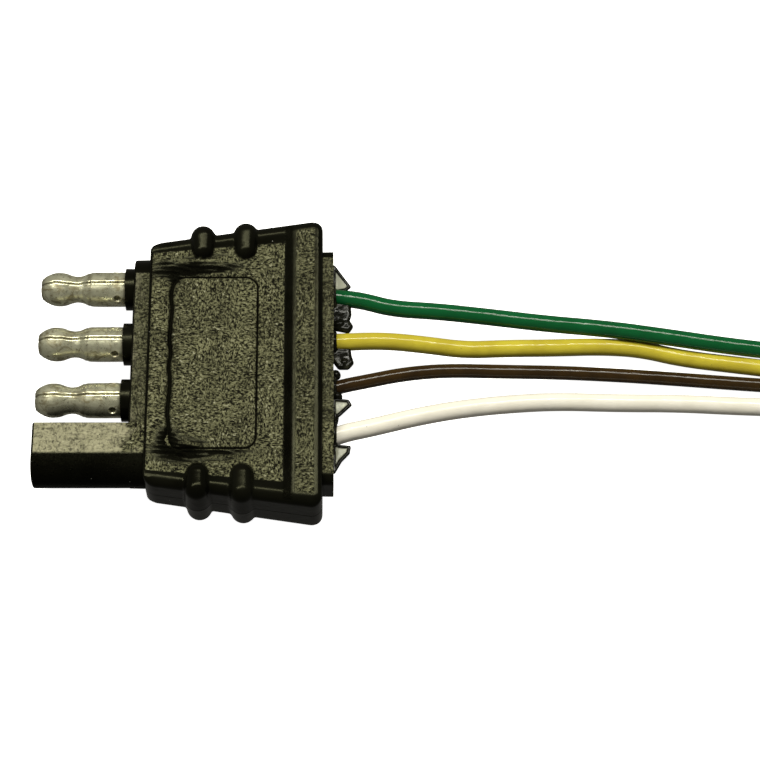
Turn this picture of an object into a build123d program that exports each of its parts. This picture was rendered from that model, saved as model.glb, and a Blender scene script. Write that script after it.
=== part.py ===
from build123d import *
import os
from math import cos, degrees, pi, radians, tan

# Four-way flat trailer wiring connector, trailer side, with its four-wire pigtail.
# Millimetres. The origin is the middle of the flat mating face of the core. +X runs back
# towards the wires, so the pins point to -X. +Y is the side of the green wire, +Z is up.
# The connector lies on its lower grip bumps, on the surface at FLOOR.

# Contacts
PITCH = 8.8
CONTACT_Y = {"green": 1.5 * PITCH, "yellow": 0.5 * PITCH, "brown": -0.5 * PITCH, "white": -1.5 * PITCH}
PINS = ("green", "yellow", "brown")
SOCKET = "white"
PIN_R = 2.5
PIN_HEAD_R = 2.45
PIN_NECK_R = 1.9
PIN_TIP_X = -13.6
PIN_HEAD_X = -10.9
PIN_NECK_X = -8.4
PIN_SHOULDER_X = -6.3
PIN_ROOT_R = 2.3
PIN_ROOT_X = 2.0
PIN_STEM_X = 3.0
SOCKET_BORE_R = 2.52
SOCKET_R = 2.95
SOCKET_MOUTH_X = -12.7
SOCKET_FLOOR_X = -1.6
SOCKET_SHOULDER_X = -0.8
SOCKET_STEM_X = 0.6
SOCKET_SLIT = 0.4
STEM_R = 1.45
STEM_END_X = 13.0
CRIMP_X = 13.8
CRIMP_END_X = 18.0
CRIMP_WALL = 0.35
STRAND_R = 0.7
STRAND_START_X = 5.0

# Wires
WIRE_D = {"green": 2.5, "yellow": 2.55, "brown": 2.05, "white": 2.65}
WIRE_START_X = 16.0
STRIP_LENGTH = 6.0

# Core
CORE_END_X = 28.85
CORE_FRONT_W = 17.5
CORE_REAR_W = 18.2
CORE_H = 3.5
CORE_FRONT_ROUND = 3.3
CORE_REAR_ROUND = 1.4
CORE_SPLIT_X = 14.0
BOSS_R = 3.05
BOSS_X = -1.35
BOSS_END_X = 1.0
SHROUD_X = -13.42
SHROUD_INNER_Y = -9.22
SHROUD_OUTER_Y = -17.46
SHROUD_MOUTH_R = 2.75
CORE_EDGE_ROUND = 0.3

# Shells
SHELL_X = 2.3
SHELL_END_X = 27.3
SHELL_FRONT_W = 18.75
SHELL_REAR_W = 22.42
SHELL_SHIFT_Y = 0.2
SHELL_FLOOR_Z = 4.2
RAIL_FRONT_Z = 4.3
RAIL_REAR_Z = 4.95
RAIL_ROUND = 1.45
RAIL_SLOPE_FRONT = 0.5
RAIL_SLOPE_REAR = 2.15
PLAN_ROUND_FRONT = 1.6
PLAN_ROUND_REAR = 1.8
BAR_X = 21.6
BAR_CROWN_X = 23.1
BAR_CROWN_END_X = 26.3
BAR_END_Z = 3.95
BUMP_X = (9.9, 16.1)
BUMP_R = 1.8
BUMP_INNER_Y = 15.85
BUMP_STAND = (1.5, 1.05)
BUMP_Z = 5.7
PANEL_X = 5.65
PANEL_END_X = 17.9
PANEL_Y = -13.5
PANEL_END_Y = 12.9
PANEL_ROUND = 1.7
PANEL_DEPTH = 0.15

# Coil of the spare wire
FLOOR = -BUMP_Z
TIE_THICKNESS = 0.5
TIE_WIDTH = 4.0
TIE_INNER_GAP = 0.3
TIE_OUTER_GAP = 0.1
TIE_ANGLE = 130.0
COIL_X = 116.0
COIL_Y = -16.0
COIL_LIFT = FLOOR + TIE_THICKNESS
LANE_GAP = 0.1
LANE_R = {"green": 19.85, "yellow": 17.3, "brown": 14.95, "white": 12.5}
TURNS = {"green": 1.75, "yellow": 2.0, "brown": 2.32, "white": 2.76}
LAYERS = {"green": 2, "yellow": 2, "brown": 3, "white": 3}

# Each wire's way from its crimp, out of the core and down on the surface, to the coil
ROUTES = {
    "green": [
        (WIRE_START_X, 13.2, 0.0), (20.5, 13.2, 0.0), (25.0, 12.6, 0.0), (29.5, 11.9, 0.0),
        (33.0, 11.5, 0.0), (37.5, 10.2, -0.1), (44.0, 10.0, -0.5), (52.0, 9.3, -1.0),
        (60.0, 8.5, -1.5), (69.0, 7.85, -1.85), (78.0, 6.7, -2.25), (87.0, 5.5, -2.8),
        (97.0, 4.6, -3.45), (107.0, 3.95, -3.8), (COIL_X, 3.85, -3.95),
    ],
    "yellow": [
        (WIRE_START_X, 4.4, 0.0), (20.5, 4.4, 0.0), (25.0, 4.6, 0.0), (30.0, 4.8, 0.0),
        (36.0, 5.1, -0.1), (42.0, 4.7, -0.6), (48.0, 4.1, -1.2), (54.0, 4.7, -1.9),
        (61.0, 5.1, -2.6), (68.0, 5.7, -3.4), (74.0, 5.6, -4.0), (80.0, 4.2, -4.3),
        (88.0, 3.2, -4.4), (97.0, 2.0, -4.3), (107.0, 1.25, -4.1), (COIL_X, 1.3, -3.925),
    ],
    "brown": [
        (WIRE_START_X, -4.4, 0.0), (20.5, -4.4, 0.0), (25.0, -3.9, 0.0), (29.5, -2.25, 0.0),
        (34.0, -1.3, 0.0), (39.0, -0.1, -0.3), (45.0, 0.8, -1.0), (53.0, 1.0, -1.9),
        (62.0, 1.3, -2.9), (71.0, 1.3, -3.9), (80.0, 0.9, -4.5), (88.0, 0.3, -4.6),
        (97.0, -0.4, -4.5), (107.0, -1.1, -4.3), (COIL_X, -1.05, -4.175),
    ],
    "white": [
        (WIRE_START_X, -13.2, 0.0), (20.5, -13.2, 0.0), (25.0, -11.9, 0.0), (29.5, -9.6, 0.0),
        (34.5, -8.5, 0.0), (40.0, -6.9, -0.4), (46.0, -5.4, -1.1), (53.0, -4.2, -1.9),
        (61.0, -3.3, -2.8), (70.0, -3.2, -3.7), (79.0, -3.0, -4.2), (88.0, -3.4, -4.4),
        (97.0, -3.7, -4.3), (107.0, -3.5, -4.1), (COIL_X, -3.5, -3.875),
    ],
}

# Set potting that has oozed out round each wire, seen from above, as points (x, y)
POTTING = {
    "green": [(28.85, 16.9), (30.5, 13.3), (29.6, 11.5), (31.0, 9.6), (31.1, 7.2), (29.6, 6.7), (28.85, 6.7)],
    "yellow": [(28.85, 6.1), (29.3, 6.0), (29.4, 3.4), (31.3, 2.9), (31.2, 1.5), (30.2, 1.0), (28.85, 0.9)],
    "brown": [(28.85, -0.4), (29.5, -0.9), (29.6, -2.4), (29.6, -4.2), (28.85, -4.5)],
    "white": [
        (28.85, -4.8), (30.9, -5.3), (30.7, -6.2), (29.4, -7.4), (29.5, -11.2), (30.8, -11.7),
        (30.3, -13.2), (29.1, -14.8), (28.85, -14.8),
    ],
}
POTTING_H = 0.7
POTTING_WALL = 0.45
POTTING_NECK_X = 29.4


def rod(radius, x_start, x_end, y):
    """A round bar along X."""
    bar = Rot(0, 90, 0) * Cylinder(radius, x_end - x_start)
    return Pos((x_start + x_end) / 2, y, 0) * bar


def turned(outline, y):
    """A turned piece on the contact axis at y, from outline edges drawn as (x, radius)."""
    return Pos(0, y, 0) * revolve(make_face(outline), Axis.X)


def plate(points, z_start, z_end):
    """A flat plate with the given outline, between two heights."""
    outline = make_face(Polyline(*points, close=True))
    return Pos(0, 0, z_start) * extrude(outline, z_end - z_start, dir=(0, 0, 1))


def along_x(edge):
    """True for an edge that runs mostly along X."""
    return abs((edge @ 1 - edge @ 0).normalized().X) > 0.9


# Contacts


def pin_outline():
    """The bullet pin's outside from its nose to its root."""
    nose = Line((PIN_TIP_X, 0), (PIN_TIP_X, 0.8))
    dome = Spline(
        (PIN_TIP_X, 0.8), (PIN_HEAD_X - 1.5, 2.15), (PIN_HEAD_X, PIN_HEAD_R), (PIN_NECK_X, PIN_NECK_R),
        (PIN_SHOULDER_X, PIN_R), tangents=[(0.3, 1), (1, 0)],
    )
    barrel = Polyline(
        (PIN_SHOULDER_X, PIN_R), (BOSS_X, PIN_R), (BOSS_X, PIN_ROOT_R), (PIN_ROOT_X, PIN_ROOT_R),
        (PIN_STEM_X, STEM_R),
    )
    return [nose, dome, barrel]


def stem_outline(start, wire_r):
    """The crimped stem's outside, from start to its open end, and its bore back to its blind end."""
    return Polyline(
        start, (STEM_END_X, STEM_R), (CRIMP_X, wire_r + CRIMP_WALL), (CRIMP_END_X, wire_r + CRIMP_WALL),
        (CRIMP_END_X, wire_r), (WIRE_START_X, wire_r), (WIRE_START_X, STRAND_R),
        (STRAND_START_X, STRAND_R), (STRAND_START_X, 0),
    )


def bullet_terminal(colour):
    stem = stem_outline((PIN_STEM_X, STEM_R), WIRE_D[colour] / 2)
    axis_line = Line((STRAND_START_X, 0), (PIN_TIP_X, 0))
    return turned([*pin_outline(), stem, axis_line], CONTACT_Y[colour])


def socket_terminal():
    """A rolled receptacle with an open seam along its far upper side, on a crimped stem."""
    y = CONTACT_Y[SOCKET]
    mouth = Polyline(
        (SOCKET_FLOOR_X, 0), (SOCKET_FLOOR_X, SOCKET_BORE_R), (SOCKET_MOUTH_X, SOCKET_BORE_R),
        (SOCKET_MOUTH_X, SOCKET_R), (SOCKET_SHOULDER_X, SOCKET_R), (SOCKET_STEM_X, STEM_R),
    )
    stem = stem_outline((SOCKET_STEM_X, STEM_R), WIRE_D[SOCKET] / 2)
    body = turned([mouth, stem, Line((STRAND_START_X, 0), (SOCKET_FLOOR_X, 0))], y)
    length = SOCKET_FLOOR_X - SOCKET_MOUTH_X
    slit = Pos(SOCKET_MOUTH_X + length / 2, y, SOCKET_R) * Box(length, SOCKET_SLIT, SOCKET_R)
    return body - slit


def conductor(colour):
    """The stripped strands inside the crimp."""
    return rod(STRAND_R, STRAND_START_X, WIRE_START_X, CONTACT_Y[colour])


def contact_space(colour):
    """The room that a contact takes up in the core, filled in."""
    y = CONTACT_Y[colour]
    crimp_r = WIRE_D[colour] / 2 + CRIMP_WALL
    if colour == SOCKET:
        front = [
            (SOCKET_MOUTH_X, 0), (SOCKET_MOUTH_X, SOCKET_R), (SOCKET_SHOULDER_X, SOCKET_R),
            (SOCKET_STEM_X, STEM_R),
        ]
    else:
        front = [
            (BOSS_X - 1, 0), (BOSS_X - 1, PIN_ROOT_R), (PIN_ROOT_X, PIN_ROOT_R), (PIN_STEM_X, STEM_R),
        ]
    rear = [(STEM_END_X, STEM_R), (CRIMP_X, crimp_r), (CRIMP_END_X, crimp_r), (CRIMP_END_X, 0)]
    return turned(Polyline(*front, *rear, close=True), y)


# Wires


def corner_radii(route):
    """The largest arc that each corner of a route has room for."""
    points = [Vector(*p) for p in route]
    radii = []
    for before, here, after in zip(points, points[1:], points[2:]):
        turn = (here - before).get_angle(after - here)
        shorter = min((here - before).length, (after - here).length)
        radii.append(0.45 * shorter / tan(radians(turn / 2)))
    return radii


def wire(colour):
    """One insulated wire from its crimp to the coil, with its volume checked against its length."""
    route = ROUTES[colour]
    radii = corner_radii(route)
    path = FilletPolyline(*route, radius=radii)
    section = Plane(origin=path @ 0, z_dir=path % 0) * Circle(WIRE_D[colour] / 2)
    tube = sweep(section, path=path)
    expected = section.area * path.length
    turns = TURNS[colour] * 2 * pi * LANE_R[colour]
    print(
        f"wire_{colour} radii", [round(r) for r in radii], f"smallest {min(radii) / WIRE_D[colour]:.1f} d",
        f"tube {path.length:.1f} mm, with its turns {path.length + turns:.1f} mm",
        f"volume {tube.volume:.1f} of {expected:.1f}",
    )
    return tube


def coil(colour):
    """The outer shape of one wire's turns, which lie on each other in a lane of their own."""
    half = WIRE_D[colour] / 2
    height = (LAYERS[colour] - 1) * (WIRE_D[colour] + LANE_GAP) + WIRE_D[colour]
    ring = Cylinder(LANE_R[colour] + half, height) - Cylinder(LANE_R[colour] - half, height)
    return Pos(COIL_X, COIL_Y, COIL_LIFT + height / 2) * ring


def bare_end(colour):
    """The stripped end of a wire, which follows on from its last turn."""
    radius = LANE_R[colour]
    start = 90 - 360 * TURNS[colour]
    sweep_angle = -degrees(STRIP_LENGTH / radius)
    z = COIL_LIFT + WIRE_D[colour] / 2 + (LAYERS[colour] - 1) * (WIRE_D[colour] + LANE_GAP)
    path = CenterArc((COIL_X, COIL_Y, z), radius, start, sweep_angle)
    section = Plane(origin=path @ 0, z_dir=path % 0) * Circle(STRAND_R)
    return sweep(section, path=path)


def coil_tie():
    """A flat strap round the four lanes of the coil."""
    inner_r = LANE_R["white"] - WIRE_D["white"] / 2 - TIE_INNER_GAP
    outer_r = LANE_R["green"] + WIRE_D["green"] / 2 + TIE_OUTER_GAP
    top = COIL_LIFT + LAYERS["white"] * (WIRE_D["white"] + LANE_GAP)
    middle = ((inner_r + outer_r) / 2, 0, (COIL_LIFT + top) / 2)
    length = outer_r - inner_r
    height = top - COIL_LIFT
    loop = Box(length + 2 * TIE_THICKNESS, TIE_WIDTH, height + 2 * TIE_THICKNESS)
    loop -= Box(length, TIE_WIDTH, height)
    return Pos(COIL_X, COIL_Y, 0) * Rot(0, 0, 90 - TIE_ANGLE) * Pos(*middle) * loop


def potting(colour, tube):
    """Set potting round a wire where it leaves the core."""
    neck_r = WIRE_D[colour] / 2 + POTTING_WALL
    neck = Pos(0, ROUTES[colour][3][1], 0) * rod(neck_r, CORE_END_X, POTTING_NECK_X, 0)
    ooze = plate(POTTING[colour], -POTTING_H, POTTING_H)
    return (neck + ooze) - tube


# Housing


def tapered_block(x_start, x_end, half_start, half_end, edge_round):
    """A slab of the core between two stations, with its long edges rounded."""
    outline = [(x_start, -half_start), (x_start, half_start), (x_end, half_end), (x_end, -half_end)]
    slab = plate(outline, -CORE_H, CORE_H)
    return fillet(slab.edges().filter_by(along_x), edge_round)


def core_outside():
    """The core without its shroud, bosses and passages."""
    middle_w = CORE_FRONT_W + (CORE_REAR_W - CORE_FRONT_W) * CORE_SPLIT_X / CORE_END_X
    front = tapered_block(0, CORE_SPLIT_X, CORE_FRONT_W, middle_w, CORE_FRONT_ROUND)
    rear = tapered_block(CORE_SPLIT_X, CORE_END_X, middle_w, CORE_REAR_W, CORE_REAR_ROUND)
    front = fillet(front.faces().sort_by(Axis.X)[0].edges(), CORE_EDGE_ROUND)
    return front + rear


def shroud():
    """The guard round the socket: flat towards the pins and above, round on its outer side."""
    length = CORE_SPLIT_X - SHROUD_X
    width = SHROUD_INNER_Y - SHROUD_OUTER_Y
    block = Box(length, width, 2 * CORE_H)
    outer = block.edges().filter_by(Axis.X).group_by(Axis.Y)[0]
    block = fillet(outer, CORE_FRONT_ROUND)
    block = fillet(block.faces().sort_by(Axis.X)[0].edges(), CORE_EDGE_ROUND)
    return Pos((CORE_SPLIT_X + SHROUD_X) / 2, (SHROUD_INNER_Y + SHROUD_OUTER_Y) / 2, 0) * block


def core_moulding(tubes):
    body = core_outside() + shroud()
    for colour in PINS:
        body += rod(BOSS_R, BOSS_X, BOSS_END_X, CONTACT_Y[colour])
    for colour, tube in tubes.items():
        body -= contact_space(colour)
        body -= tube
    return body - rod(SHROUD_MOUTH_R, SHROUD_X, SOCKET_MOUTH_X, CONTACT_Y[SOCKET])


def shell_section(x, half_width, crown_z, slope):
    """The upper shell's section at one station: a floor between two rounded rails."""
    top = crown_z - RAIL_ROUND
    bend = RAIL_ROUND * (1 - cos(radians(45)))
    rail = half_width - RAIL_ROUND
    edges = [
        Line((x, -half_width, 0), (x, -half_width, top)),
        ThreePointArc((x, -half_width, top), (x, bend - half_width, crown_z - bend), (x, -rail, crown_z)),
        Polyline((x, -rail, crown_z), (x, slope - rail, SHELL_FLOOR_Z), (x, rail - slope, SHELL_FLOOR_Z)),
        Line((x, rail - slope, SHELL_FLOOR_Z), (x, rail, crown_z)),
        ThreePointArc((x, rail, crown_z), (x, half_width - bend, crown_z - bend), (x, half_width, top)),
        Polyline((x, half_width, top), (x, half_width, 0), (x, -half_width, 0)),
    ]
    return make_face(edges)


def shell_plan():
    """The shells' outline from above, as a tall block with rounded corners."""
    outline = [
        (SHELL_X, -SHELL_FRONT_W), (SHELL_X, SHELL_FRONT_W),
        (SHELL_END_X, SHELL_REAR_W), (SHELL_END_X, -SHELL_REAR_W),
    ]
    block = plate(outline, -BUMP_Z, BUMP_Z)
    corners = block.edges().filter_by(Axis.Z).group_by(Axis.X)
    block = fillet(corners[0], PLAN_ROUND_FRONT)
    corners = block.edges().filter_by(Axis.Z).group_by(Axis.X)
    return fillet(corners[-1], PLAN_ROUND_REAR)


def rear_bar():
    """The raised bar across the back of a shell."""
    profile = [
        (BAR_X, 0), (BAR_X, SHELL_FLOOR_Z), (BAR_CROWN_X, RAIL_REAR_Z), (BAR_CROWN_END_X, RAIL_REAR_Z),
        (SHELL_END_X, BAR_END_Z), (SHELL_END_X, 0),
    ]
    face = Plane.XZ * make_face(Polyline(*profile, close=True))
    return extrude(face, SHELL_REAR_W - RAIL_ROUND, both=True)


def half_width(x):
    """The shells' half width at a station."""
    share = (x - SHELL_X) / (SHELL_END_X - SHELL_X)
    return SHELL_FRONT_W + (SHELL_REAR_W - SHELL_FRONT_W) * share


def grip_bumps():
    """The four half-round ribs that wrap round the long sides, each with a round inner end."""
    bumps = []
    for x, stand in zip(BUMP_X, BUMP_STAND):
        outer = half_width(x) + stand - BUMP_R
        inner = BUMP_INNER_Y + BUMP_R
        top = BUMP_Z - BUMP_R
        across = Pos(x, (inner + outer) / 2, top) * Rot(90, 0, 0) * Cylinder(BUMP_R, outer - inner)
        down = Pos(x, outer, 0) * Cylinder(BUMP_R, 2 * top)
        rib = across + down + Pos(x, inner, top) * Sphere(BUMP_R) + Pos(x, outer, top) * Sphere(BUMP_R)
        bumps += [rib, mirror(rib, Plane.XZ)]
    return bumps


def label_panel():
    """The shallow panel pressed into a shell's floor."""
    panel = RectangleRounded(PANEL_END_X - PANEL_X, PANEL_END_Y - PANEL_Y, PANEL_ROUND)
    bottom = SHELL_FLOOR_Z - PANEL_DEPTH
    centre = Pos((PANEL_X + PANEL_END_X) / 2, (PANEL_Y + PANEL_END_Y) / 2, bottom)
    return centre * extrude(panel, 1)


def shell():
    """The upper shell, open below and behind for the core."""
    upper_half = Pos(0, 0, BUMP_Z) * Box(4 * SHELL_END_X, 4 * SHELL_REAR_W, 2 * BUMP_Z)
    front = shell_section(SHELL_X, SHELL_FRONT_W, RAIL_FRONT_Z, RAIL_SLOPE_FRONT)
    rear = shell_section(SHELL_END_X, SHELL_REAR_W, RAIL_REAR_Z, RAIL_SLOPE_REAR)
    body = loft([front, rear], ruled=True) + rear_bar()
    body &= shell_plan()
    for bump in grip_bumps():
        body += bump & upper_half
    body -= label_panel()
    return Pos(0, SHELL_SHIFT_Y, 0) * body - core_outside()


def main():
    tubes = {colour: wire(colour) for colour in ROUTES}
    nodes = {"core_moulding": core_moulding(tubes), "socket_terminal_white": socket_terminal()}
    nodes["upper_shell"] = shell()
    nodes["lower_shell"] = mirror(nodes["upper_shell"], Plane.XY)
    for colour in PINS:
        nodes[f"bullet_terminal_{colour}"] = bullet_terminal(colour)
    for colour, tube in tubes.items():
        nodes[f"wire_{colour}"] = tube
        nodes[f"conductor_{colour}"] = conductor(colour)
        nodes[f"potting_{colour}"] = potting(colour, tube)
        nodes[f"coil_{colour}"] = coil(colour)
        nodes[f"bare_end_{colour}"] = bare_end(colour)
    nodes["coil_tie"] = coil_tie()
    os.makedirs("parts", exist_ok=True)
    for name, solid in nodes.items():
        export_step(solid, f"parts/{name}.step")


main()
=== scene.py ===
from math import cos, pi, radians, sin

import bmesh
import bpy
import numpy as np
from mathutils import Matrix, Vector


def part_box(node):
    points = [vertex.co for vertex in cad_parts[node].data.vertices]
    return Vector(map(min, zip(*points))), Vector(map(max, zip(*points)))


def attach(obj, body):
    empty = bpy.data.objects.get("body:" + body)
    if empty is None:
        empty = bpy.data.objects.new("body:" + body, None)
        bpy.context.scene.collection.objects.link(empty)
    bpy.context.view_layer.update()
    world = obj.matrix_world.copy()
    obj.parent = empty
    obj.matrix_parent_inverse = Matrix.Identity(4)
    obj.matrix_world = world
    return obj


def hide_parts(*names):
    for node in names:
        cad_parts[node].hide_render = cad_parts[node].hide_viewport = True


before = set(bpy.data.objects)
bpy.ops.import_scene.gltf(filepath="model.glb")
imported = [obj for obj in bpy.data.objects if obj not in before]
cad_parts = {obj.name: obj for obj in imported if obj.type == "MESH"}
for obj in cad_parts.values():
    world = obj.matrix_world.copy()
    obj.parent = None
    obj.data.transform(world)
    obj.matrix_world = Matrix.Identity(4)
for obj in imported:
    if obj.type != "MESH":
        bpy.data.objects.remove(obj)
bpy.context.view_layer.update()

# The visual model of a four-way flat trailer wiring connector. Shapes are worked out in
# millimetres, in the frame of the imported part, and turned to metres as each mesh is made.
MM = 0.001

# Contacts
PITCH = 8.8
COLOURS = ("green", "yellow", "brown", "white")
CONTACT_Y = {"green": 1.5 * PITCH, "yellow": 0.5 * PITCH, "brown": -0.5 * PITCH, "white": -1.5 * PITCH}

# Wires and their coil
WIRE_D = {"green": 2.5, "yellow": 2.55, "brown": 2.05, "white": 2.65}
COIL_X = 116.0
COIL_Y = -16.0
COIL_BOTTOM = -5.2
LANE_GAP = 0.1
LANE_R = {"green": 19.85, "yellow": 17.3, "brown": 14.95, "white": 12.5}
TURNS = {"green": 1.75, "yellow": 2.0, "brown": 2.32, "white": 2.76}
LAYERS = {"green": 2, "yellow": 2, "brown": 3, "white": 3}
STEPS_PER_TURN = 12
CLIMB_START, CLIMB_TURNS = 0.5, 0.33

# Control points of each wire's line from its crimp to the start of its coil
ROUTES = {
    "green": [
        (16.0, 13.2, 0.0), (20.5, 13.2, 0.0), (25.0, 12.6, 0.0), (29.5, 11.9, 0.0),
        (33.0, 11.5, 0.0), (37.5, 10.2, -0.1), (44.0, 10.0, -0.5), (52.0, 9.3, -1.0),
        (60.0, 8.5, -1.5), (69.0, 7.85, -1.85), (78.0, 6.7, -2.25), (87.0, 5.5, -2.8),
        (97.0, 4.6, -3.45), (107.0, 3.95, -3.8),
    ],
    "yellow": [
        (16.0, 4.4, 0.0), (20.5, 4.4, 0.0), (25.0, 4.6, 0.0), (30.0, 4.8, 0.0),
        (36.0, 5.1, -0.1), (42.0, 4.7, -0.6), (48.0, 4.1, -1.2), (54.0, 4.7, -1.9),
        (61.0, 5.1, -2.6), (68.0, 5.7, -3.4), (74.0, 5.6, -4.0), (80.0, 4.2, -4.3),
        (88.0, 3.2, -4.4), (97.0, 2.0, -4.3), (107.0, 1.25, -4.1),
    ],
    "brown": [
        (16.0, -4.4, 0.0), (20.5, -4.4, 0.0), (25.0, -3.9, 0.0), (29.5, -2.25, 0.0),
        (34.0, -1.3, 0.0), (39.0, -0.1, -0.3), (45.0, 0.8, -1.0), (53.0, 1.0, -1.9),
        (62.0, 1.3, -2.9), (71.0, 1.3, -3.9), (80.0, 0.9, -4.5), (88.0, 0.3, -4.6),
        (97.0, -0.4, -4.5), (107.0, -1.1, -4.3),
    ],
    "white": [
        (16.0, -13.2, 0.0), (20.5, -13.2, 0.0), (25.0, -11.9, 0.0), (29.5, -9.6, 0.0),
        (34.5, -8.5, 0.0), (40.0, -6.9, -0.4), (46.0, -5.4, -1.1), (53.0, -4.2, -1.9),
        (61.0, -3.3, -2.8), (70.0, -3.2, -3.7), (79.0, -3.0, -4.2), (88.0, -3.4, -4.4),
        (97.0, -3.7, -4.3), (107.0, -3.5, -4.1),
    ],
}


# Camera

AZIMUTH, ELEVATION, ROLL = radians(-3.392), radians(66.276), radians(3.146)
CAMERA_DISTANCE = 312.6
CAMERA_TARGET = (35.53, -1.155, 0)
LENS, SENSOR_WIDTH = 103.03, 36
CLIP_START_M = 0.01


def make_camera():
    """The camera of the main view, turned a little about its own axis."""
    back = Vector((sin(AZIMUTH) * cos(ELEVATION), -cos(AZIMUTH) * cos(ELEVATION), sin(ELEVATION)))
    right = Vector((cos(AZIMUTH), sin(AZIMUTH), 0))
    up = back.cross(right)
    tilted_right = right * cos(ROLL) + up * sin(ROLL)
    tilted_up = up * cos(ROLL) - right * sin(ROLL)
    data = bpy.data.cameras.new("camera")
    data.lens = LENS
    data.sensor_width = SENSOR_WIDTH
    data.clip_start = CLIP_START_M
    camera = bpy.data.objects.new("camera", data)
    camera.matrix_world = Matrix((tilted_right, tilted_up, back)).transposed().to_4x4()
    camera.location = Vector(CAMERA_TARGET) * MM + back * (CAMERA_DISTANCE * MM)
    bpy.context.scene.collection.objects.link(camera)
    bpy.context.scene.camera = camera


make_camera()


# Materials

# Where the core's grain ends and how strong it is
BOSS_CLEAR_X = (-0.15, 0.05)
SHROUD_INNER_Y = -9.22
SHROUD_FLAT_Y = -13.75
SHROUD_ROOT_X = (3.5, 3.0)
# How much grain, with its painted sheen, the core keeps away from the shroud
CORE_GRAIN_SHARE = 0.47
# How strong the painted sheen on top of the shroud is
SHROUD_PALE = 0.72

# A share of grain below 0 stands for dull black plastic
DULL = -0.5
SHINE_DULL, SHINE_SMOOTH = 0.01, 0.09
SHINE_GRAIN = (-0.06, 0.16)

# Depths of relief, in millimetres
GRAIN_DEPTH = 0.3
SCRATCH_DEPTH = 0.03
SKIN_DEPTH = 0.05

# Colours, as linear red, green and blue
SKIN = ((0.0020, 0.0020, 0.0012), (0.0040, 0.0040, 0.0025))
# The grain's dark colour is the plastic's own; its light colour is painted sheen off the grain's facets,
# and GLINT is a painted glint
GRAIN_AND_SHEEN = ((0.004, 0.004, 0.003), (0.19, 0.187, 0.10))
GLINT = (0.42, 0.41, 0.30)
# Painted sheen that makes the top of the shroud paler
PAINTED_SHROUD_SHEEN = (0.46, 0.435, 0.29)
DUST = (0.55, 0.55, 0.48)
PLASTIC_SHEEN = (1.0, 1.0, 0.62)
TIN = ((0.47, 0.46, 0.31), (0.77, 0.76, 0.57))
TIN_STAIN, TIN_SPOT, TIN_DARKER = (0.20, 0.165, 0.085), (0.10, 0.085, 0.05), (0.07, 0.055, 0.026)
PVC = {
    "green": ((0.003, 0.092, 0.024), (0.0025, 0.074, 0.019)),
    "yellow": ((0.56, 0.47, 0.040), (0.48, 0.39, 0.032)),
    "brown": ((0.034, 0.018, 0.004), (0.023, 0.012, 0.003)),
    "white": ((0.88, 0.84, 0.75), (0.84, 0.80, 0.70)),
}
PVC_SPECK = (0.05, 0.045, 0.03)
BARE_COPPER = ((0.78, 0.36, 0.19), (0.38, 0.16, 0.08))
RESIN = ((0.005, 0.005, 0.003), (0.028, 0.029, 0.018))
THIN_RESIN = (0.66, 0.67, 0.53)
WEAVE = ((0.006, 0.006, 0.006), (0.035, 0.035, 0.033))


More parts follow.
